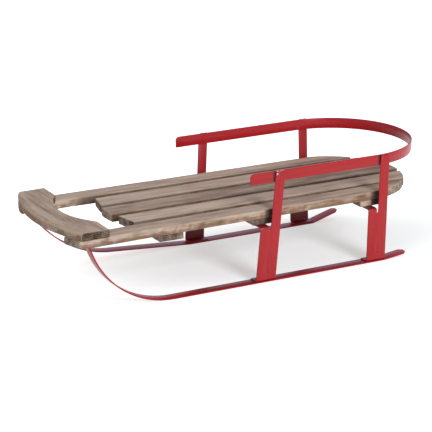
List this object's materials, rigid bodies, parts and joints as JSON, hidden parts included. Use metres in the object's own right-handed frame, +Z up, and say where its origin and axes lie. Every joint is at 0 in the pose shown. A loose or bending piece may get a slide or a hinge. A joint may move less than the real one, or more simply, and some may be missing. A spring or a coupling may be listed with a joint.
{
  "type": "plank sled with steel runners and a wrap-round handrail",
  "caption": "Low wooden plank sled on flat steel runners, with a curved front board and a steel handrail bent round the back, towed or pushed over snow.",
  "frame": {"origin": "on the snow, under the middle of the sled's bounding box", "axes": "+X forward towards the curved front board, +Y to the rider's left, +Z up"},
  "size_m": [0.968, 0.378, 0.265],
  "materials": {
    "stained_wood": "weathered grey-brown stain, satin",
    "red_steel": "red paint, semi-gloss"
  },
  "bodies": {
    "root": {"rail_left": "stained_wood", "rail_right": "stained_wood", "slat_left": "stained_wood", "slat_middle": "stained_wood", "slat_right": "stained_wood", "front_board": "stained_wood", "beam_front": "stained_wood", "beam_middle": "stained_wood", "beam_rear": "stained_wood", "runner_left": "red_steel", "runner_right": "red_steel", "leg_front_left": "red_steel", "leg_front_right": "red_steel", "leg_rear_left": "red_steel", "leg_rear_right": "red_steel", "handrail": "red_steel"}
  },
  "joints": []
}
